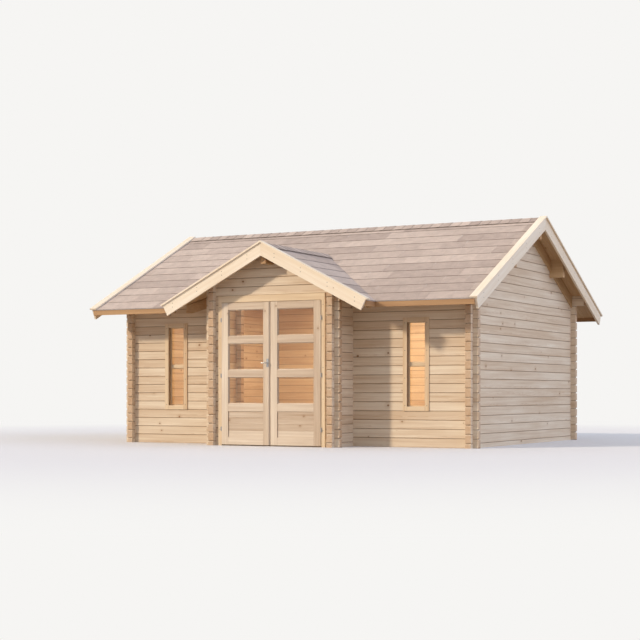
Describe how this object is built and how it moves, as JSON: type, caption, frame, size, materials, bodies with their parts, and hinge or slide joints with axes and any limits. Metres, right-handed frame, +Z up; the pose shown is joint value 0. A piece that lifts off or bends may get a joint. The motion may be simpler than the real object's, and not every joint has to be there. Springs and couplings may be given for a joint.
{
  "type": "log cabin",
  "caption": "Garden log cabin with interlocking log walls, a pitched shingle roof, a gabled entrance bay with hinged glazed double doors, and tall narrow windows.",
  "frame": {"origin": "on the ground, under the middle of the outline's box", "axes": "+X to the right along the front, +Y to the back, +Z up; the door bay faces -Y"},
  "size_m": [5.727, 5.2838, 3.076],
  "materials": {
    "logs": "planed untreated spruce",
    "beams": "planed untreated spruce",
    "floor": "planed spruce boards",
    "roof_boards": "planed tongue and groove boards",
    "shingles": "bitumen shingles with mineral grit",
    "trim_boards": "planed untreated spruce",
    "joinery": "planed untreated spruce",
    "glass": "clear window glass",
    "fittings": "satin"
  },
  "bodies": {
    "cabin": {"ridge_beam": "beams", "purlins": "beams", "bay_ridge_beam": "beams", "valley_rafters": "beams", "front_wall_left": "logs", "front_wall_right": "logs", "back_wall": "logs", "left_gable_wall": "logs", "right_gable_wall": "logs", "bay_left_wall": "logs", "bay_right_wall": "logs", "bay_gable": "logs", "bay_front_left": "logs", "bay_front_right": "logs", "floor_boards": "floor", "floor_joists": "floor", "roof_boards_front": "roof_boards", "roof_boards_back": "roof_boards", "bay_roof_boards": "roof_boards", "main_shingles": "shingles", "bay_shingles": "shingles", "main_barge_boards": "trim_boards", "main_barge_caps": "trim_boards", "main_gable_rafters": "trim_boards", "bay_barge_boards": "trim_boards", "bay_barge_caps": "trim_boards", "bay_gable_rafters": "trim_boards", "main_fascias": "trim_boards", "bay_fascias": "trim_boards", "gable_trims": "trim_boards", "door_jamb_left": "joinery", "door_jamb_right": "joinery", "door_head": "joinery", "threshold": "joinery", "frame_hinges": "fittings", "window_frame_left": "joinery", "window_frame_right": "joinery", "window_glass": "glass"},
    "left_leaf": {"door_left": "joinery", "door_left_glass": "glass", "door_left_hinges": "fittings", "door_handle": "fittings"},
    "right_leaf": {"door_right": "joinery", "door_right_glass": "glass", "door_right_hinges": "fittings"}
  },
  "joints": [
    {"name": "door_left_hinge", "type": "hinge", "parent": "cabin", "child": "left_leaf", "pos_m": [-0.743, -2.36987, 0.9], "axis": [0, 0, -1], "range_deg": [0, 100]},
    {"name": "door_right_hinge", "type": "hinge", "parent": "cabin", "child": "right_leaf", "pos_m": [0.743, -2.36987, 0.9], "axis": [0, 0, 1], "range_deg": [0, 100]}
  ]
}
